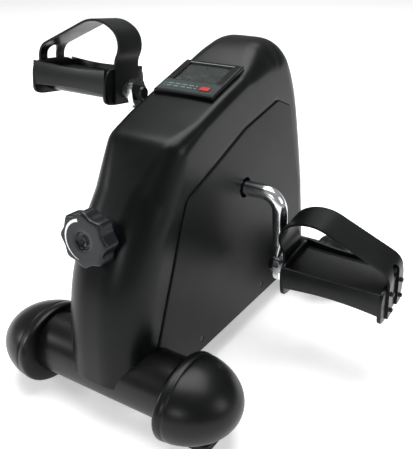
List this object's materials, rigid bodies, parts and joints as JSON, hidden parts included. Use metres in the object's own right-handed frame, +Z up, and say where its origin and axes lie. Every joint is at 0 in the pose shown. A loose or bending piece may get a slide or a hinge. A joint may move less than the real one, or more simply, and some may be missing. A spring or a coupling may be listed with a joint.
{
  "type": "pedal exerciser",
  "caption": "Small floor-standing cycle: cranked shaft with strapped pedals, moulded housing on two floor bars, hand-knob friction brake and a speed display.",
  "frame": {"origin": "on the floor under the middle of the machine's outline", "axes": "+Z up; X along the crank's axis, +X to the right of the seated user; the user sits on the -Y side and the machine's rear bar is on the +Y side"},
  "size_m": [0.411, 0.372, 0.3251],
  "materials": {
    "frame_paint": "satin powder coat",
    "bar_paint": "satin powder coat",
    "cap_plastic": "fine satin grain",
    "pad_rubber": "matt",
    "zinc_steel": "zinc plated",
    "bearing_steel": "ground",
    "crank_chrome": "polished",
    "wheel_iron": "turned rim",
    "black_steel": "black oxide",
    "magnet": "nickel plated",
    "housing_plastic": "satin moulded",
    "cover_plastic": "satin moulded",
    "tray_plastic": "matt moulded",
    "knob_plastic": "satin moulded",
    "pedal_plastic": "satin moulded",
    "bush_plastic": "natural",
    "strap_vinyl": "satin",
    "carrier_plastic": "matt moulded",
    "brake_felt": "pressed felt",
    "bezel_plastic": "semi-gloss",
    "lens_clear": "clear",
    "lcd_glass": "reflective",
    "board_laminate": "solder mask",
    "battery_steel": "stamped",
    "button_red": "semi-gloss",
    "cable_pvc": "satin"
  },
  "bodies": {
    "base": {"main_frame": "frame_paint", "front_bar": "bar_paint", "rear_bar": "bar_paint", "sole_pads": "pad_rubber", "bar_bolts": "zinc_steel", "bar_nuts": "zinc_steel", "speed_sensor": "tray_plastic", "sensor_bracket": "zinc_steel", "sensor_cable": "cable_pvc", "centre_shroud": "housing_plastic", "base_tray": "tray_plastic", "display_case": "bezel_plastic", "display_lens": "lens_clear", "lcd_panel": "lcd_glass", "display_board": "board_laminate", "battery_cell": "battery_steel", "battery_door": "bezel_plastic", "left_bearing": "bearing_steel", "front_left_cap": "cap_plastic", "rear_left_cap": "cap_plastic", "left_side_cover": "cover_plastic", "left_cover_screws": "black_steel", "right_bearing": "bearing_steel", "front_right_cap": "cap_plastic", "rear_right_cap": "cap_plastic", "right_side_cover": "cover_plastic", "right_cover_screws": "black_steel"},
    "crank_set": {"crank": "crank_chrome", "brake_wheel": "wheel_iron", "retaining_rings": "black_steel", "speed_magnet": "magnet", "left_pedal_spindle": "zinc_steel", "left_spindle_clip": "black_steel", "left_spindle_nut": "black_steel", "right_pedal_spindle": "zinc_steel", "right_spindle_clip": "black_steel", "right_spindle_nut": "black_steel"},
    "left_pedal_set": {"left_pedal": "pedal_plastic", "left_pedal_bushes": "bush_plastic", "left_dust_cap": "pedal_plastic", "left_pedal_strap": "strap_vinyl"},
    "right_pedal_set": {"right_pedal": "pedal_plastic", "right_pedal_bushes": "bush_plastic", "right_dust_cap": "pedal_plastic", "right_pedal_strap": "strap_vinyl"},
    "knob_set": {"brake_knob": "knob_plastic", "knob_screw": "zinc_steel", "tension_screw": "zinc_steel"},
    "brake_set": {"brake_carrier": "carrier_plastic", "brake_pad": "brake_felt"},
    "button": {"reset_button": "button_red"}
  },
  "joints": [
    {"name": "crank_spin", "type": "hinge", "parent": "base", "child": "crank_set", "pos_m": [0, 0.0215, 0.172], "axis": [1, 0, 0], "continuous": true},
    {"name": "left_pedal_spin", "type": "hinge", "parent": "crank_set", "child": "left_pedal_set", "pos_m": [-0.148, 0.01435, 0.25369], "axis": [1, 0, 0], "continuous": true},
    {"name": "right_pedal_spin", "type": "hinge", "parent": "crank_set", "child": "right_pedal_set", "pos_m": [0.148, 0.02865, 0.09031], "axis": [1, 0, 0], "continuous": true},
    {"name": "knob_turn", "type": "hinge", "parent": "base", "child": "knob_set", "pos_m": [0, -0.15816, 0.18299], "axis": [0, -0.9981, 0.061], "range_deg": [-1080, 1080]},
    {"name": "brake_slide", "type": "slide", "parent": "base", "child": "brake_set", "axis": [0, -0.9981, 0.061], "range_m": [-0.00375, 0.00375]},
    {"name": "reset_press", "type": "slide", "parent": "base", "child": "button", "axis": [0, 0.2857, -0.9583], "range_m": [0, 0.0008], "stiffness_N_per_m": 500}
  ],
  "couplings": [
    {"joint": "brake_slide", "follows": "knob_turn", "m_per_rad": 0.00019894}
  ]
}
